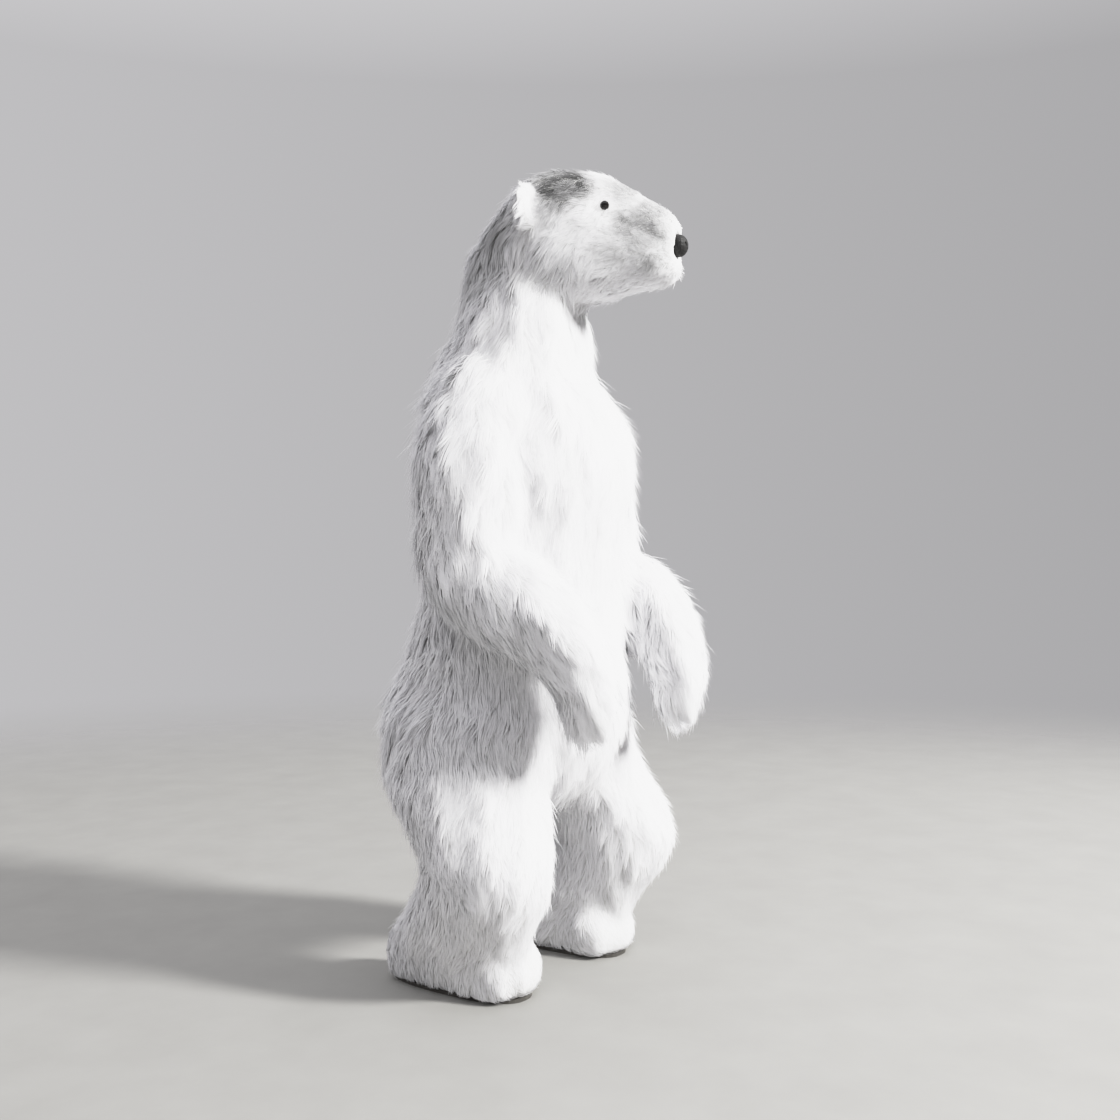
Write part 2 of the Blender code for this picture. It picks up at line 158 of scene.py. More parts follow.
# In shares of a piece's half size: no hair grows within the first, whole hair from the last.
BARE = {"left_eye": (0.5, 2.4), "right_eye": (0.5, 2.4), "nose": (1.15, 3.0)}
SHORTEST = 0.2  # the share of the pile next to the bare places
# Round the nose the hide is drawn back: fully within the first share of the nose's half size,
# not at all from the second, and by the last in metres.
NOSE_SHOWN = (1.0, 1.7, 0.006)
EYE_RING = (0.9, 2.1)  # round an eye the wool has no painted shade up to the first, and its whole painted shade from the last

# Painted shade on the head, on both sides of it, mostly where the fur parts: ahead, above, aside,
# reach and strength.
PAINTED_SHADE_PLACES = (
    (-4.4, 4.8, 2.6, 2.3, 0.85),
    (-7.2, 4.6, 2.8, 2.5, 0.8),
    (-3.4, 3.2, 4.6, 2.6, 1.0),
    (-6.2, 3.2, 5.0, 2.8, 1.0),
    (-4.6, 1.4, 6.0, 2.2, 0.9),
    (-2.6, 1.9, 5.0, 1.5, 0.85),
    (-7.0, -0.6, 6.4, 2.0, 0.35),
    (-13.8, -1.4, 5.5, 3.0, 0.5),
    (-15.9, -5.7, 5.2, 3.4, 0.3),
    (1.4, 2.0, 1.6, 2.6, 0.6),
    (5.0, -1.2, 1.6, 2.8, 0.6),
    (2.6, -2.8, 3.6, 1.7, 0.6),
    (4.4, -4.4, 3.4, 2.0, 0.5),
    (1.2, -4.9, 4.4, 2.4, 0.3),
    (-3.2, -4.2, 5.4, 3.2, 0.1),
    (5.4, -6.8, 2.9, 1.0, 0.6),
)
CREASE_SHADE = ((0.9, -0.6, 3.7), (6.6, -3.9, 2.5), 0.6, 0.7)  # painted shade along the crease between the muzzle's lit top and its shaded side: from, to, reach and strength

# Each zone of the coat: strand spacing, lock spacing and strand width in metres, how far the
# strands of a lock are drawn together, and the strength and number per metre of the swirls.
COAT = {
    "head_fur": (0.0021, 0.0120, 0.0018, 0.7, 1.7, 26),
    "chest_fur": (0.0035, 0.0200, 0.0026, 0.6, 1.0, 12),
    "back_fur": (0.0039, 0.0220, 0.0028, 0.7, 1.3, 15),
    "arm_fur": (0.0035, 0.0200, 0.0026, 0.6, 1.0, 14),
    "right_leg_fur": (0.0034, 0.0200, 0.0026, 0.55, 1.0, 13),
    "left_leg_fur": (0.0040, 0.0200, 0.0028, 0.55, 1.0, 13),
}
FIRST_SEED = 200
SEEDS_APART = 50

# A lock, and the strands in it. A pair is the least and the most that chance gives.
LOCK_SWAY = 0.35  # how far a lock heads aside of the growth
LOCK_REACH = (0.78, 1.12)  # in shares of the pile
LOCK_LIFT = (0.6, 1.4)  # in shares of the lift
LOCK_SPREAD = 0.3  # the share of its width that a lock keeps at its tip
LOCK_BORDER = 0.005  # how far the border between two locks wanders, in metres
STRAND_REACH = (0.6, 1.0)
STRAND_LIFT = (0.3, 1.3)
STRAY_LIFT = 1.3  # the most that a stray hair stands off further
STRAY_POWER = 6  # higher makes strays rarer
DRAWN = (0.6, 1.25)  # in shares of the clump
TWIST = 0.3
BEND_PLACE = 0.4  # a strand bends most above this share of its run
BENDS = 2
KEEL = 0.5  # how high a strand's keel stands, as a share of half its width
LOWEST = 0.009  # no hair hangs lower than this over the floor
CELL_FILLED = 0.7  # the share of its cell on the sheet of colours that a strand fills
SOFTNESS = 0.72  # how far a strand is shaded as the hide below it rather than as a blade

FUR_INPUTS = (
    ("Geometry", "Geometry"),
    ("Zone", "Int"),
    ("Strand Spacing", "Float"),
    ("Lock Spacing", "Float"),
    ("Strand Width", "Float"),
    ("Bends", "Int"),
    ("Clump", "Float"),
    ("Swirl", "Float"),
    ("Swirls Per Metre", "Float"),
    ("Lowest", "Float"),
    ("Seed", "Int"),
    ("Plush", "Material"),
)
# What only the growing of the fur needs
WORKING_NOTES = (
    "root", "tip", "twist", "number", "growth", "stand", "pile", "cover", "rise", "across"
)


def middle(node):
    """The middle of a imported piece's box."""
    low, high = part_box(node)
    return (Vector(low) + Vector(high)) / 2


SPINE = (middle("left_sole") + middle("right_sole")) / 2
SPINE = Vector((SPINE.x, SPINE.y - SOLE_BEHIND, 0))


def at(x, y, z):
    """A place given in hundredths of the stature."""
    return SPINE + Vector((x, y, z)) * STATURE / 100


class Wire:
    """The output of a node. Arithmetic on numbers adds Math nodes."""

    def __init__(self, graph, socket):
        self.graph = graph
        self.socket = socket

    def __add__(self, other):
        return self.graph.maths("ADD", self, other)

    def __sub__(self, other):
        return self.graph.maths("SUBTRACT", self, other)

    def __rsub__(self, other):
        return self.graph.maths("SUBTRACT", other, self)

    def __mul__(self, other):
        return self.graph.maths("MULTIPLY", self, other)

    def __truediv__(self, other):
        return self.graph.maths("DIVIDE", self, other)

    def __rtruediv__(self, other):
        return self.graph.maths("DIVIDE", other, self)

    def __pow__(self, other):
        return self.graph.maths("POWER", self, other)

    __radd__ = __add__
    __rmul__ = __mul__


class Graph:
    """Adds nodes to the tree of a material, of the studio or of a Geometry Nodes group."""

    def __init__(self, tree):
        self.tree = tree

    def node(self, kind, settings=None, inputs=(), output=0):
        """A new node. Its settings are made first, then its sockets, by place or by name."""
        made = self.tree.nodes.new(kind)
        for name, value in (settings or {}).items():
            if name == "stops":
                self.set_stops(made.color_ramp, value)
            else:
                setattr(made, name, value)
        named = inputs.items() if isinstance(inputs, dict) else enumerate(inputs)
        for key, value in named:
            self.feed(self.socket(made.inputs, key), value)
        return Wire(self, self.socket(made.outputs, output))

    def socket(self, sockets, key):
        """The socket with that name or place, among those in use."""
        used = [s for s in sockets if s.enabled]
        if isinstance(key, int):
            return used[key]
        return next(s for s in used if s.name == key)

    def feed(self, socket, value):
        if isinstance(value, Wire):
            self.tree.links.new(value.socket, socket)
        elif value is not None:
            socket.default_value = value

    def set_stops(self, ramp, stops):
        for k, (place, colour) in enumerate(stops):
            stop = ramp.elements[k] if k < 2 else ramp.elements.new(place)
            stop.position = place
            stop.color = (*colour, 1)

    def maths(self, operation, *values):
        return self.node("ShaderNodeMath", {"operation": operation}, values)

    def vector(self, operation, *values, output=0):
        return self.node("ShaderNodeVectorMath", {"operation": operation}, values, output)

    def total(self, first, *others):
        """The sum of vectors."""
        for other in others:
            first = self.vector("ADD", first, other)
        return first

    def parts(self, vector):
        """The x, y and z of a vector."""
        made = self.node("ShaderNodeSeparateXYZ", {}, (vector,)).socket.node
        return [Wire(self, output) for output in made.outputs]

    def scaled(self, vector, factor):
        return self.node(
            "ShaderNodeVectorMath", {"operation": "SCALE"}, {"Vector": vector, "Scale": factor}
        )

    def blend(self, factor, first, second):
        """A colour between two, by a factor from 0 to 1."""
        settings = {"data_type": "RGBA"}
        return self.node("ShaderNodeMix", settings, {"Factor": factor, "A": first, "B": second})


def shader_material(name, build):
    """A material whose Principled node is finished by build(graph, shader)."""
    made = bpy.data.materials.new(name)
    made.use_nodes = True
    graph = Graph(made.node_tree)
    build(graph, made.node_tree.nodes["Principled BSDF"])
    return made


def noise(graph, place, scale, detail=3, roughness=0.5):
    inputs = {"Vector": place, "Scale": scale, "Detail": detail, "Roughness": roughness}
    return graph.node("ShaderNodeTexNoise", {}, inputs)


def object_place(graph):
    return graph.node("ShaderNodeTexCoord", {}, (), "Object")


def attribute(graph, name):
    return graph.node("ShaderNodeAttribute", {"attribute_name": name}, (), "Fac")


def bump(graph, height, strength, distance):
    inputs = {"Height": height, "Strength": strength, "Distance": distance}
    return graph.node("ShaderNodeBump", {}, inputs)


def plush(graph, shader):
    """White pile, each lock in a tone of its own, with painted shade at the root and on the head.
    """
    along = attribute(graph, "along")
    tone = attribute(graph, "tone")
    grey = attribute(graph, "grey")
    # Darker towards the root: painted shade deep in the pile.
    depth = 1 - (1 - along) ** 2
    light = 0.52 + depth * 0.36 + tone * 0.12
    stops = {"stops": [(0.5, (0.775, 0.775, 0.785)), (1.0, (0.945, 0.943, 0.965))]}
    white = graph.node("ShaderNodeValToRGB", stops, (light,))
    # Painted shade on the head's parted fur and creases: the wool is blended towards near black.
    painted_shade_colour = (0.05, 0.05, 0.051, 1)
    painted_shade_amount = graph.maths("MINIMUM", grey * (1.27 - tone * 0.6), 1)
    graph.feed(shader.inputs["Base Color"], graph.blend(painted_shade_amount, white, painted_shade_colour))
    shader.inputs["Roughness"].default_value = 0.8
    shader.inputs["Sheen Weight"].default_value = 0.1


def hide_cloth(graph, shader):
    """The backing between the hairs: off-white, with the combed grain of the pile."""
    place = object_place(graph)
    grain = noise(graph, place, 240, 2)
    cloud = noise(graph, place, 14)
    stops = {"stops": [(0.2, (0.70, 0.70, 0.695)), (0.8, (0.88, 0.88, 0.875))]}
    mixed = grain * 0.6 + cloud * 0.4
    graph.feed(shader.inputs["Base Color"], graph.node("ShaderNodeValToRGB", stops, (mixed,)))
    graph.feed(shader.inputs["Normal"], bump(graph, grain, 0.6, 0.002))
    shader.inputs["Roughness"].default_value = 0.95


def eye_glass(graph, shader):
    """A polished black ball, with the faintest brown cloud in it."""
    cloud = noise(graph, object_place(graph), 160)
    stops = {"stops": [(0.3, (0.004, 0.004, 0.004)), (0.8, (0.014, 0.011, 0.009))]}
    graph.feed(shader.inputs["Base Color"], graph.node("ShaderNodeValToRGB", stops, (cloud,)))
    shader.inputs["Roughness"].default_value = 0.09
    shader.inputs["Specular IOR Level"].default_value = 0.35
    shader.inputs["Coat Weight"].default_value = 0.2
    shader.inputs["Coat Roughness"].default_value = 0.02


def nose_pad(graph, shader):
    """Moulded black, pebbled like the skin of a nose."""
    place = object_place(graph)
    cells = graph.node("ShaderNodeTexVoronoi", {}, {"Vector": place, "Scale": 520})
    wear = noise(graph, place, 90)
    stops = {"stops": [(0.2, (0.006, 0.006, 0.006)), (0.8, (0.028, 0.027, 0.027))]}
    tint = cells * 0.6 + wear * 0.4
    graph.feed(shader.inputs["Base Color"], graph.node("ShaderNodeValToRGB", stops, (tint,)))
    graph.feed(shader.inputs["Roughness"], 0.4 + wear * 0.3)
    shader.inputs["Specular IOR Level"].default_value = 0.3
    graph.feed(shader.inputs["Normal"], bump(graph, cells, 0.5, 0.0012))


def sole_felt(graph, shader):
    """Dark felt, fibrous and a little dusty at places."""
    place = object_place(graph)
    fibres = noise(graph, place, 420, 4, 0.7)
    dust = noise(graph, place, 24)
    stops = {"stops": [(0.2, (0.030, 0.028, 0.026)), (0.85, (0.12, 0.112, 0.10))]}
    mixed = fibres * 0.6 + dust * 0.4
    graph.feed(shader.inputs["Base Color"], graph.node("ShaderNodeValToRGB", stops, (mixed,)))
    graph.feed(shader.inputs["Normal"], bump(graph, fibres, 0.7, 0.001))
    shader.inputs["Roughness"].default_value = 0.95


def studio_floor(graph, shader):
    """Pale matt floor with faint scuffs, which fades into the studio far from the figure."""
    place = object_place(graph)
    scuffs = noise(graph, place, 5, 6, 0.6)
    stops = {"stops": [(0.3, (0.285, 0.282, 0.270)), (0.7, (0.312, 0.309, 0.296))]}
    graph.feed(shader.inputs["Base Color"], graph.node("ShaderNodeValToRGB", stops, (scuffs,)))
    shader.inputs["Roughness"].default_value = 0.8
    distance = graph.vector("LENGTH", place, output="Value")
    near, far = FLOOR_FADE
    fade = graph.node(
        "ShaderNodeMapRange",
        {"interpolation_type": "SMOOTHSTEP"},
        {"Value": distance, "From Min": near, "From Max": far, "To Min": 1, "To Max": 0},
    )
    graph.feed(shader.inputs["Alpha"], fade)


def head_frame():
    """Where the head looks from, and its ahead, up and aside directions."""
    left, right = middle("left_eye"), middle("right_eye")
    aside = (left - right).normalized()
    up = Vector((0, 0, 1))
    ahead = aside.cross(up)
    if ahead.dot(middle("nose") - left) < 0:
        ahead = -ahead
    return (left + right) / 2, ahead, up, aside


def growth_lines():
    """Every line that the fur follows, as start, end, reach, and the pile at both ends."""
    found = []

    def path(points):
        for (start, reach, pile), (end, _, after) in zip(points, points[1:]):
            found.append((np.array(start), np.array(end), reach, pile, after))

    def on_body(rows, side=1):
        return [
            (at(side * x, y, z), reach * STATURE / 100, pile / 1000)
            for x, y, z, reach, pile in rows
        ]

    origin, ahead, up, aside = head_frame()
    head = []
    for forward, height, reach, pile in MUZZLE_TO_NAPE:
        place = origin + (ahead * forward + up * height) * STATURE / 100
        head.append((place, reach * STATURE / 100, pile / 1000))
    zones = [("head", head), ("trunk", on_body(NAPE_TO_RUMP))]
    for side, word in zip(SIDES, ("right_ear", "left_ear")):
        zones.append(("arm", on_body(SHOULDER_TO_PAW, side)))
        zones.append(("leg", on_body(HIP_TO_ANKLE, side)))
        zones.append(("leg", on_body(HEEL_TO_TOE, side)))
        low, high = (Vector(corner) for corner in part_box(word))
        centre = middle(word)
        reach = (high.z - low.z) * EAR_REACH
        foot = Vector((centre.x, centre.y, low.z + reach))
        tip = Vector((centre.x, centre.y, high.z))
        zones.append(("head", [(foot, reach, EAR_PILE[0]), (tip, reach, EAR_PILE[1])]))
    for zone, points in zones:
        first = len(found)
        path(points)
        found[first:] = [(zone, *line) for line in found[first:]]
    return found


def hide():
    """The soft skin under the fur: the carved body and both ears as one form."""
    bm = bmesh.new()
    for node in ("fur_body", "left_ear", "right_ear"):
        bm.from_mesh(frame["nodes"][node].data)
    bmesh.ops.remove_doubles(bm, verts=bm.verts, dist=1e-5)
    mesh = bpy.data.meshes.new("hide")
    bm.to_mesh(mesh)
    bm.free()
    made = bpy.data.objects.new("hide", mesh)
    bpy.context.scene.collection.objects.link(made)
    cells = made.modifiers.new("Join", "REMESH")
    cells.mode = "VOXEL"
    cells.voxel_size = HIDE_CELL
    rounding = made.modifiers.new("Round", "SMOOTH")
    rounding.factor = 0.5
    rounding.iterations = HIDE_ROUNDING
    return plain(made)


def plain(obj):
    """Replaces the object's mesh by what its modifiers make of it."""
    graph = bpy.context.evaluated_depsgraph_get()
    made = bpy.data.meshes.new_from_object(obj.evaluated_get(graph))
    obj.modifiers.clear()
    obj.data = made
    return obj


def read(data, key, width=1):
    """One property of every vertex, face or corner as rows of numbers."""
    values = np.zeros(len(data) * width, dtype=float if width > 1 else int)
    data.foreach_get(key, values)
    return values.reshape(-1, width) if width > 1 else values


def near_segment(points, start, end):
    """How far along a segment each point is, and how far away from it."""
    line = end - start
    t = np.clip((points - start) @ line / (line @ line), 0, 1)
    return t, np.linalg.norm(points - start - t[:, None] * line, axis=1)


def painted_shade_places(points):
    """Painted shade at each point: the shade of parted fur on crown, nape and cheeks, and of the
    crease.
    """
    origin, ahead, up, aside = head_frame()
    grey = np.zeros(len(points))

    def on_head(forward, height, out):
        return np.array(origin + (ahead * forward + up * height + aside * out) * STATURE / 100)

    for side in SIDES:
        for forward, height, out, reach, strength in PAINTED_SHADE_PLACES:
            away = np.linalg.norm(points - on_head(forward, height, side * out), axis=1)
            felt = np.exp(-((away / (reach * STATURE / 100)) ** 4))
            grey = np.maximum(grey, strength * felt)
        (first, last, reach, strength) = CREASE_SHADE
        start = on_head(first[0], first[1], side * first[2])
        end = on_head(last[0], last[1], side * last[2])
        _, away = near_segment(points, start, end)
        grey = np.maximum(grey, strength * np.exp(-((away / (reach * STATURE / 100)) ** 2)))
    white, whole = (reach * STATURE / 100 for reach in EYE_RING)
    for word in ("left_eye", "right_eye"):
        away = np.linalg.norm(points - np.array(middle(word)), axis=1)
        grey *= np.clip((away - white) / (whole - white), 0, 1)
    return grey


def zone_names(lines_felt, points, normals):
    """The zone of the coat that each point belongs to."""
    words = sorted(lines_felt)
    strongest = np.argmax(np.array([lines_felt[word] for word in words]), axis=0)
    order = list(COAT)
    zones = np.zeros(len(points), dtype=np.int32)
    for k, word in enumerate(words):
        chosen = strongest == k
        if word == "trunk":
            zones[chosen & (normals[:, 1] <= 0)] = order.index("chest_fur")
            zones[chosen & (normals[:, 1] > 0)] = order.index("back_fur")
        elif word == "leg":
            zones[chosen & (points[:, 0] <= SPINE.x)] = order.index("right_leg_fur")
            zones[chosen & (points[:, 0] > SPINE.x)] = order.index("left_leg_fur")
        else:
            zones[chosen] = order.index(word + "_fur")
    return zones


def fill_folds(mesh):
    """Lifts the hollows between belly and thighs, which long fur covers, and leaves the swells."""
    edges = read(mesh.edges, "vertices", 2).astype(int)
    points = read(mesh.vertices, "co", 3)
    normals = read(mesh.vertices, "normal", 3)
    count = np.bincount(edges.ravel(), minlength=len(points))[:, None]
    low, high = FOLD_HEIGHTS
    inside = ((points[:, 2] > low) & (points[:, 2] < high))[:, None]
    for _ in range(FOLD_FILLING):
        around = np.zeros_like(points)
        np.add.at(around, edges[:, 0], points[edges[:, 1]])
        np.add.at(around, edges[:, 1], points[edges[:, 0]])
        step = around / count - points
        hollow = (step * normals).sum(axis=1)[:, None] > 0
        points += np.where(inside & hollow, step * FOLD_STEP, 0)
    mesh.vertices.foreach_set("co", points.ravel())
    mesh.update()


def follow_lines(points, normals):
    """What the lines of growth give each point: direction, pile, weight and zone."""
    growth = np.zeros_like(points)
    pile, total = np.zeros(len(points)), np.zeros(len(points))
    lines_felt = {}
    for word, start, end, reach, pile_start, pile_end in growth_lines():
        t, away = near_segment(points, start, end)
        felt = 1 / (LINE_CORE + (away / reach) ** 4)
        line = end - start
        growth += felt[:, None] * line / np.linalg.norm(line)
        pile += felt * (pile_start + (pile_end - pile_start) * t)
        total += felt
        lines_felt[word] = np.maximum(lines_felt.get(word, 0), felt)
    return growth, pile / total, total, zone_names(lines_felt, points, normals)


def on_snout(forward, height):
    """A place in the middle plane of the head, ahead of the eyes and above them."""
    origin, ahead, up, _ = head_frame()
    return np.array(origin + (ahead * forward + up * height) * STATURE / 100)


def away_from(points, node):
    """How far the points are from the middle of a piece, in shares of its half size."""
    low, high = (np.array(corner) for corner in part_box(node))
    return np.linalg.norm((points - (low + high) / 2) / (high - low) * 2, axis=1)


def trim(points, pile):
    """Trims the pile round the eyes, the nose and the tufts, and gives where hair grows at all."""
    cover = np.ones(len(points))
    for node, (bare, grown) in BARE.items():
        away = away_from(points, node)
        cover[away < bare] = 0
        pile *= np.clip((away - bare) / (grown - bare), SHORTEST, 1)
    for forward, height, reach, longer in TUFTS:
        away = np.linalg.norm(points - on_snout(forward, height), axis=1) / (reach * STATURE / 100)
        pile *= 1 + longer * np.exp(-(away ** 2))
    return cover


def comb(obj):
    """Gives the hide its growth, pile, cover and zones, and sinks it under the pile."""
    mesh = obj.data
    fill_folds(mesh)
    points = read(mesh.vertices, "co", 3)
    normals = read(mesh.vertices, "normal", 3)
    growth, pile, total, zones = follow_lines(points, normals)
    pile *= 1 - CHEST_SHORTER * np.clip(-normals[:, 1], 0, 1)
    away = np.linalg.norm(points - on_snout(*MUZZLE_FRONT), axis=1) / (MUZZLE_REACH * STATURE / 100)
    stand_up = np.clip(MUZZLE_EDGE - away, 0, 1)
    growth[:, 2] -= (DROOP + stand_up * MUZZLE_DROOP) * total
    growth -= normals * (growth * normals).sum(axis=1)[:, None]
    growth /= np.maximum(np.linalg.norm(growth, axis=1), 1e-6)[:, None]
    cover = trim(points, pile)
    whole, none, depth = NOSE_SHOWN
    drawn_back = np.clip((none - away_from(points, "nose")) / (none - whole), 0, 1) * depth
    # Painted shade for the head's wool, kept on the hide for the fur's colour.
    grey = painted_shade_places(points)
    points -= normals * (pile * PILE_DEPTH + drawn_back)[:, None]
    mesh.vertices.foreach_set("co", points.ravel())
    mesh.update()
    for name, kind, values in (
        ("growth", "FLOAT_VECTOR", growth),
        ("stand", "FLOAT_VECTOR", normals),
        ("pile", "FLOAT", pile),
        ("cover", "FLOAT", cover),
        ("rise", "FLOAT", LIFT * (1 - stand_up) + MUZZLE_LIFT * stand_up),
        ("grey", "FLOAT", grey),
    ):
        layer = mesh.attributes.new(name, kind, "POINT")
        layer.data.foreach_set("vector" if kind == "FLOAT_VECTOR" else "value", values.ravel())
    corners = read(mesh.loops, "vertex_index")
    layer = mesh.attributes.new("zone", "INT", "FACE")
    layer.data.foreach_set("value", zones[corners[read(mesh.polygons, "loop_start")]])
    mesh.shade_smooth()


class FurGraph(Graph):
    """The Geometry Nodes that grow the fur, with what the hide says at each place."""

    def __init__(self, tree):
        super().__init__(tree)
        tree.interface.new_socket("Geometry", in_out="OUTPUT", socket_type="NodeSocketGeometry")
        for name, kind in FUR_INPUTS:
            tree.interface.new_socket(name, in_out="INPUT", socket_type="NodeSocket" + kind)
        self.inlet = tree.nodes.new("NodeGroupInput")
        self.place = self.node("GeometryNodeInputPosition")
        self.stand = self.named("stand", "FLOAT_VECTOR")
        self.pile = self.named("pile")
        self.lift = self.named("rise")

    def given(self, name):
        """An input of the tree."""
        return Wire(self, self.inlet.outputs[name])

    def named(self, name, kind="FLOAT"):
        """What is noted on the geometry under a name."""
        return self.node("GeometryNodeInputNamedAttribute", {"data_type": kind}, (name,))

    def chance(self, low, high, seed, kind="FLOAT"):
        """A random value for each point. Every draw has a seed of its own."""
        inputs = {"Min": low, "Max": high, "Seed": self.given("Seed") + seed}
        return self.node("FunctionNodeRandomValue", {"data_type": kind}, inputs)

    def keep(self, geometry, name, value, kind="FLOAT", domain="POINT"):
        """Notes a value on the geometry under a name."""
        settings = {"data_type": kind, "domain": domain}
        inputs = {"Geometry": geometry, "Name": name, "Value": value}
        return self.node("GeometryNodeStoreNamedAttribute", settings, inputs)

    def sown(self, spacing, seed):
        """Points over the zone, none nearer to each other than the spacing."""
        same = self.node(
            "FunctionNodeCompare",
            {"data_type": "INT", "operation": "EQUAL"},
            {"A": self.named("zone", "INT"), "B": self.given("Zone")},
        )
        return self.node(
            "GeometryNodeDistributePointsOnFaces",
            {"distribute_method": "POISSON"},
            {
                "Mesh": self.given("Geometry"),
                "Selection": same,
                "Distance Min": spacing,
                "Density Max": 3 / (spacing * spacing),
                "Density Factor": self.named("cover"),
                "Seed": self.given("Seed") + seed,
            },
        )


def swirled_growth(g):
    """The way the fur lies: as it was combed, with eddies in it."""
    combed = g.named("growth", "FLOAT_VECTOR")
    swirls = {"Vector": g.place, "Scale": g.given("Swirls Per Metre"), "Detail": 1}
    eddies = g.node("ShaderNodeTexNoise", {}, swirls)
    aside = g.vector("CROSS_PRODUCT", g.stand, combed)
    aslant = g.scaled(aside, (eddies - 0.5) * 2 * g.given("Swirl"))
    return g.vector("NORMALIZE", g.total(combed, aslant))


def lock_tips(g, growth):
    """Where the hairs of a lock gather to a point."""
    aside = g.vector("CROSS_PRODUCT", growth, g.stand)
    sway = g.scaled(aside, g.chance(-LOCK_SWAY, LOCK_SWAY, 2))
    heading = g.vector("NORMALIZE", g.total(growth, sway))
    reach = g.pile * g.chance(*LOCK_REACH, 3)
    rise = g.scaled(g.stand, reach * g.lift * g.chance(*LOCK_LIFT, 4))
    return g.total(g.place, g.scaled(heading, reach), rise)


def own_tips(g, growth):
    """Where a strand would end if it belonged to no lock."""
    reach = g.pile * g.chance(*STRAND_REACH, 8)
    strays = g.chance(0, STRAY_LIFT, 14) ** STRAY_POWER
    rise = g.scaled(g.stand, reach * g.lift * (g.chance(*STRAND_LIFT, 9) + strays))
    return g.total(g.place, g.scaled(growth, reach), rise)


def sow_strands(g):
    """The roots of the strands. Each notes its tip, drawn towards that of the nearest lock."""
    growth = swirled_growth(g)
    locks = g.sown(g.given("Lock Spacing"), 1)
    wander = g.chance((-LOCK_BORDER,) * 3, (LOCK_BORDER,) * 3, 6, "FLOAT_VECTOR")
    nearest = g.node(
        "GeometryNodeSampleNearest",
        {"domain": "POINT"},
        {"Geometry": locks, "Sample Position": g.total(g.place, wander)},
    )

    def from_lock(value, kind="FLOAT_VECTOR"):
        settings = {"data_type": kind, "domain": "POINT"}
        inputs = {"Geometry": locks, "Value": value, "Index": nearest}
        return g.node("GeometryNodeSampleIndex", settings, inputs)

    spread = g.scaled(g.vector("SUBTRACT", g.place, from_lock(g.place)), LOCK_SPREAD)
    shared = g.total(from_lock(lock_tips(g, growth)), spread)
    drawn = g.maths("MINIMUM", g.given("Clump") * g.chance(*DRAWN, 10), 1)
    tip = g.total(g.scaled(own_tips(g, growth), 1 - drawn), g.scaled(shared, drawn))
    tone = g.chance(0, 1, 11) * 0.5 + from_lock(g.chance(0, 1, 12), "FLOAT") * 0.5
    rooted = g.sown(g.given("Strand Spacing"), 5)
    for name, value, kind in (
        ("root", g.place, "FLOAT_VECTOR"),
        ("tip", tip, "FLOAT_VECTOR"),
        ("tone", tone, "FLOAT"),
        ("twist", g.chance(-TWIST, TWIST, 13), "FLOAT"),
        ("number", g.node("GeometryNodeInputIndex"), "FLOAT"),
    ):
        rooted = g.keep(rooted, name, value, kind)
    return rooted


def blade(g):
    """One strand: a keeled blade that narrows to a point."""
    made = g.node(
        "GeometryNodeMeshGrid",
        {},
        {"Size X": 1, "Size Y": 1, "Vertices X": 3, "Vertices Y": g.given("Bends") + 1},
    )
    across, height, _ = g.parts(g.place)
    along = height + 0.5
    made = g.keep(made, "across", across)
    made = g.keep(made, "along", along)
    narrowed = g.node("ShaderNodeCombineXYZ", {}, (across * (1 - along), along, 0))
    made = g.node("GeometryNodeSetPosition", {}, {"Geometry": made, "Position": narrowed})
    return g.node("GeometryNodeMergeByDistance", {}, {"Geometry": made, "Distance": 0.001})


def place_on_curve(g):
    """Where each point of a strand comes to lie, on a curve from its root to its tip."""
    along, across = g.named("along"), g.named("across")
    root, tip = g.named("root", "FLOAT_VECTOR"), g.named("tip", "FLOAT_VECTOR")
    run = g.vector("SUBTRACT", tip, root)
    bend = g.total(root, g.scaled(run, BEND_PLACE), g.scaled(g.stand, g.pile * g.lift))
    left = 1 - along
    course = g.total(
        g.scaled(root, left * left), g.scaled(bend, 2 * left * along), g.scaled(tip, along * along)
    )
    to_bend = g.scaled(g.vector("SUBTRACT", bend, root), 1 - along)
    to_tip = g.scaled(g.vector("SUBTRACT", tip, bend), along)
    ahead = g.vector("NORMALIZE", g.total(to_bend, to_tip))
    level = g.vector("NORMALIZE", g.vector("CROSS_PRODUCT", ahead, g.stand))
    sideways = g.vector("NORMALIZE", g.total(level, g.scaled(g.stand, g.named("twist"))))
    keel = g.vector("CROSS_PRODUCT", sideways, ahead)
    width = g.given("Strand Width") * (1 - along * along)
    ridge = (0.5 - g.maths("ABSOLUTE", across)) * width * KEEL
    laid = g.total(course, g.scaled(sideways, across * width), g.scaled(keel, ridge))
    x, y, z = g.parts(laid)
    return g.node("ShaderNodeCombineXYZ", {}, (x, y, g.maths("MAXIMUM", z, g.given("Lowest"))))


def cell_of_strand(g, rooted):
    """Each strand's own cell on a sheet for the colours of the fur, kept as a UV map."""
    count = g.node("GeometryNodeAttributeDomainSize", {"component": "POINTCLOUD"}, (rooted,))
    cells = g.maths("CEIL", g.maths("SQRT", count))
    number = g.named("number")
    row = g.maths("FLOOR", (number + 0.5) / cells)
    column = number - row * cells
    margin = (1 - CELL_FILLED) / 2
    across = (column + 0.5 + g.named("across") * CELL_FILLED) / cells
    along = (row + margin + g.named("along") * CELL_FILLED) / cells
    return g.node("ShaderNodeCombineXYZ", {}, (across, along, 0))


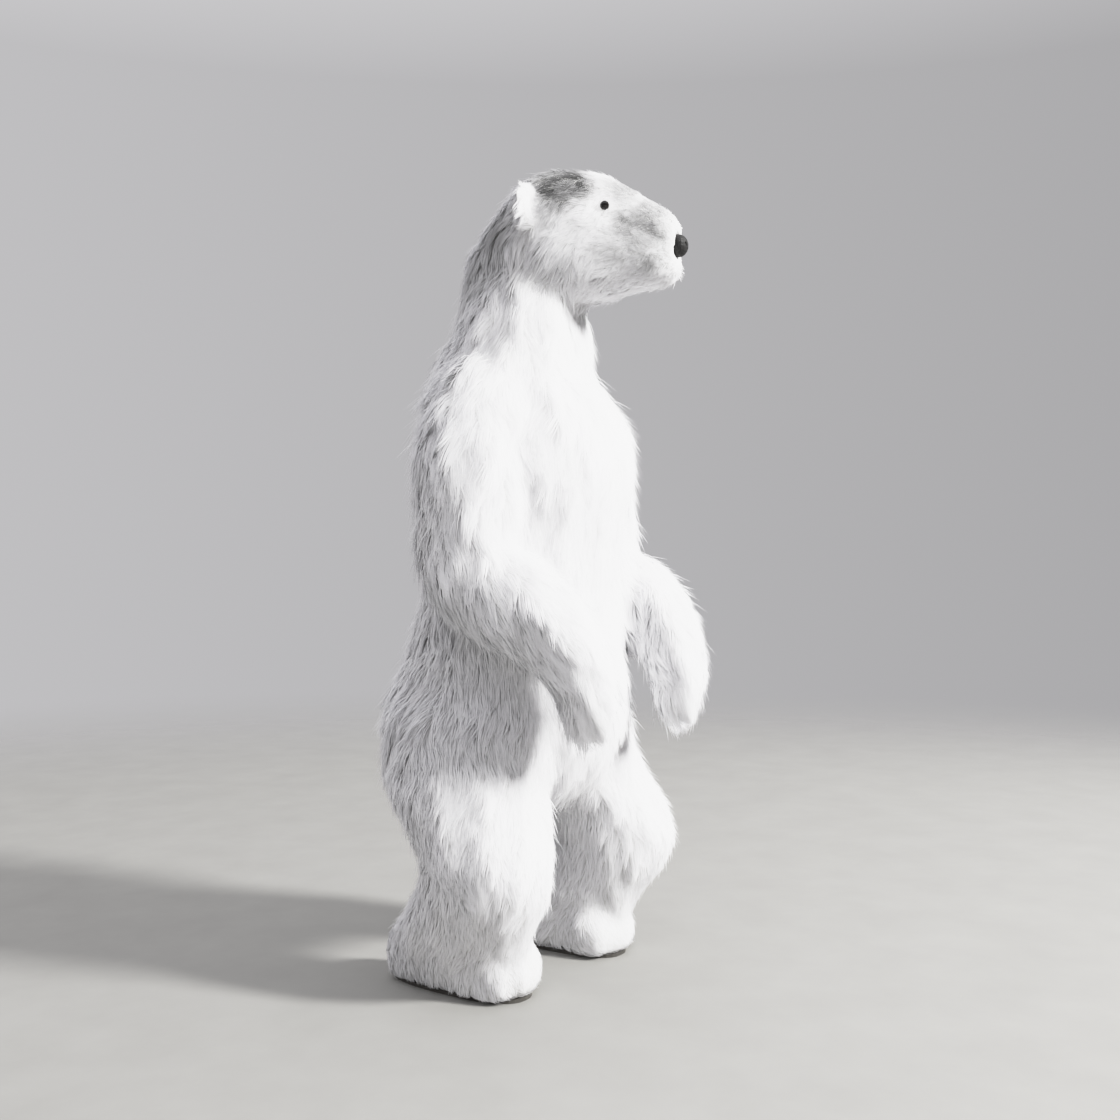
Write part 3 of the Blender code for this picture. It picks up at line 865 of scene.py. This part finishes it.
def fur_tree():
    """Geometry Nodes that sow locks and strands of fur over one zone of the hide."""
    g = FurGraph(bpy.data.node_groups.new("fur", "GeometryNodeTree"))
    rooted = sow_strands(g)
    coat = g.node("GeometryNodeInstanceOnPoints", {}, {"Points": rooted, "Instance": blade(g)})
    coat = g.node("GeometryNodeRealizeInstances", {}, (coat,))
    laid = {"Geometry": coat, "Position": place_on_curve(g)}
    coat = g.node("GeometryNodeSetPosition", {}, laid)
    coat = g.keep(coat, "OFBake", cell_of_strand(g, rooted), "FLOAT2", "CORNER")
    coat = g.node("GeometryNodeRealizeInstances", {}, (coat,))
    coat = g.node("GeometryNodeSetShadeSmooth", {}, (coat,))
    finished = {"Geometry": coat, "Material": g.given("Plush")}
    coat = g.node("GeometryNodeSetMaterial", {}, finished)
    outlet = g.tree.nodes.new("NodeGroupOutput")
    g.tree.links.new(coat.socket, outlet.inputs["Geometry"])
    return g.tree


def set_inputs(modifier, values):
    """Sets a Geometry Nodes modifier's inputs by their names in the tree."""
    for item in modifier.node_group.interface.items_tree:
        if item.item_type == "SOCKET" and item.in_out == "INPUT" and item.name in values:
            modifier[item.identifier] = values[item.name]


def soften(mesh):
    """Turns the shading of every strand towards the way that the hide below it faces."""
    own = read(mesh.vertices, "normal", 3)
    facing = read(mesh.attributes["stand"].data, "vector", 3)
    mixed = own * (1 - SOFTNESS) + facing * SOFTNESS
    mixed /= np.linalg.norm(mixed, axis=1)[:, None]
    mesh.normals_split_custom_set_from_vertices(mixed)


def grow(name, skin, tree, finish):
    """The fur of one zone, as a plain mesh."""
    spacing, lock_spacing, width, clump, swirl, swirls = COAT[name]
    zone = list(COAT).index(name)
    made = bpy.data.objects.new(name, skin.data)
    bpy.context.scene.collection.objects.link(made)
    modifier = made.modifiers.new("Fur", "NODES")
    modifier.node_group = tree
    set_inputs(
        modifier,
        {
            "Zone": zone,
            "Strand Spacing": spacing,
            "Lock Spacing": lock_spacing,
            "Strand Width": width,
            "Bends": BENDS,
            "Clump": clump,
            "Swirl": swirl,
            "Swirls Per Metre": swirls,
            "Lowest": LOWEST,
            "Seed": FIRST_SEED + zone * SEEDS_APART,
            "Plush": finish,
        },
    )
    plain(made)
    soften(made.data)
    for note in WORKING_NOTES:
        layer = made.data.attributes.get(note)
        if layer:
            made.data.attributes.remove(layer)
    return made


def place_camera():
    """A level camera on the bear's right, a little in front of it."""
    right = Vector((math.cos(CAMERA_TURN), math.sin(CAMERA_TURN), 0))
    back = Vector((math.sin(CAMERA_TURN), -math.cos(CAMERA_TURN), 0))
    data = bpy.data.cameras.new("camera")
    data.sensor_width = SENSOR
    data.lens = LENS
    camera = bpy.data.objects.new("camera", data)
    bpy.context.scene.collection.objects.link(camera)
    place = SPINE + back * CAMERA_DISTANCE + right * CAMERA_ASIDE
    camera.location = (place.x, place.y, CAMERA_HEIGHT)
    camera.rotation_euler = (math.radians(90), 0, CAMERA_TURN)
    bpy.context.scene.camera = camera
    return right, back


def hang_lamp(name, right, back, share):
    """A soft lamp on the camera's right, with its share of the light."""
    aside, towards_camera, height = KEY_PLACE
    place = SPINE + right * aside + back * towards_camera + Vector((0, 0, height))
    data = bpy.data.lights.new(name, "AREA")
    data.shape = "DISK"
    data.size = KEY_SIZE
    data.energy = KEY_POWER * share
    data.color = KEY_COLOUR
    lamp = bpy.data.objects.new(name, data)
    lamp.location = place
    away_from_aim = place - SPINE - Vector((0, 0, KEY_AIM))
    lamp.rotation_euler = away_from_aim.to_track_quat("Z", "Y").to_euler()
    bpy.context.scene.collection.objects.link(lamp)
    return lamp


def light_room(right, back):
    """The grey of the studio all round, as fill: backdrop, room and ceiling."""
    world = bpy.data.worlds.new("studio")
    world.use_nodes = True
    graph = Graph(world.node_tree)
    background = world.node_tree.nodes["Background"]
    background.inputs["Color"].default_value = (*STUDIO_GREY, 1)
    outward = graph.node("ShaderNodeTexCoord", {}, (), "Generated")
    to_right = graph.vector("DOT_PRODUCT", outward, tuple(right), output="Value")
    to_room = graph.vector("DOT_PRODUCT", outward, tuple(back), output="Value")
    to_ceiling = graph.vector("DOT_PRODUCT", outward, (0, 0, 1), output="Value")
    in_room = graph.node(
        "ShaderNodeMapRange",
        {"interpolation_type": "SMOOTHSTEP"},
        {"Value": to_room, "From Min": ROOM_FROM, "From Max": ROOM_WHOLE, "To Min": 0, "To Max": 1},
    )
    level = BACKDROP_LIGHT - to_right * BACKDROP_FALL
    level = level + in_room * (ROOM_LIGHT - to_right * ROOM_FALL - level)
    raised = graph.maths("MAXIMUM", to_ceiling - CEILING_FROM, 0)
    overhead = raised * CEILING_LIGHT / (1 - CEILING_FROM)
    graph.feed(background.inputs["Strength"], level + overhead)
    bpy.context.scene.world = world


def roll_off_highlights():
    """Bends the picture's curve over, so that bright fur keeps its detail."""
    view = bpy.context.scene.view_settings
    view.view_transform = "Standard"
    view.use_curve_mapping = True
    mapping = view.curve_mapping
    mapping.white_level = (BRIGHTEST,) * 3
    curve = mapping.curves[3]
    room = WHITEST - KNEE
    for share in CURVE_PLACES:
        bright = share * BRIGHTEST
        if bright > KNEE:
            bright = KNEE + room * (1 - math.exp(-(bright - KNEE) / room))
        curve.points.new(share, bright)
    curve.points[-1].location = (1, WHITEST)
    mapping.update()


def let_through(lamp, unshaded):
    """Long white hairs pass light on: they and the eyes among them cast no shadow in this lamp."""
    casters = bpy.data.collections.new("shadow casters")
    for made in bpy.context.scene.objects:
        if made.type == "MESH" and made not in unshaded:
            casters.objects.link(made)
    lamp.light_linking.blocker_collection = casters


def lay_floor(finish):
    """A wide round floor under the bear."""
    bm = bmesh.new()
    bmesh.ops.create_circle(bm, cap_ends=True, radius=FLOOR_RADIUS, segments=96)
    mesh = bpy.data.meshes.new("floor")
    bm.to_mesh(mesh)
    bm.free()
    mesh.materials.append(finish)
    made = bpy.data.objects.new("floor", mesh)
    bpy.context.scene.collection.objects.link(made)


right, back = place_camera()
hang_lamp("lamp", right, back, 1 - LET_THROUGH)
lamp_through_hair = hang_lamp("lamp through hair", right, back, LET_THROUGH)
light_room(right, back)
roll_off_highlights()
lay_floor(shader_material("studio floor", studio_floor))

plush_finish = shader_material("white plush", plush)
skin = hide()
comb(skin)
skin.data.materials.append(shader_material("hide cloth", hide_cloth))
tree = fur_tree()
pieces = [skin]
for name in COAT:
    pieces.append(grow(name, skin, tree, plush_finish))
for piece in pieces:
    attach(piece, "root")
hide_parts("fur_body", "left_ear", "right_ear")

for names, finish in (
    (("left_eye", "right_eye"), shader_material("black glass", eye_glass)),
    (("nose",), shader_material("black moulded nose", nose_pad)),
    (("left_sole", "right_sole"), shader_material("dark sole felt", sole_felt)),
):
    for node in names:
        frame["nodes"][node].data.materials.clear()
        frame["nodes"][node].data.materials.append(finish)

eyes = [frame["nodes"][word] for word in ("left_eye", "right_eye")]
let_through(lamp_through_hair, pieces[1:] + eyes)
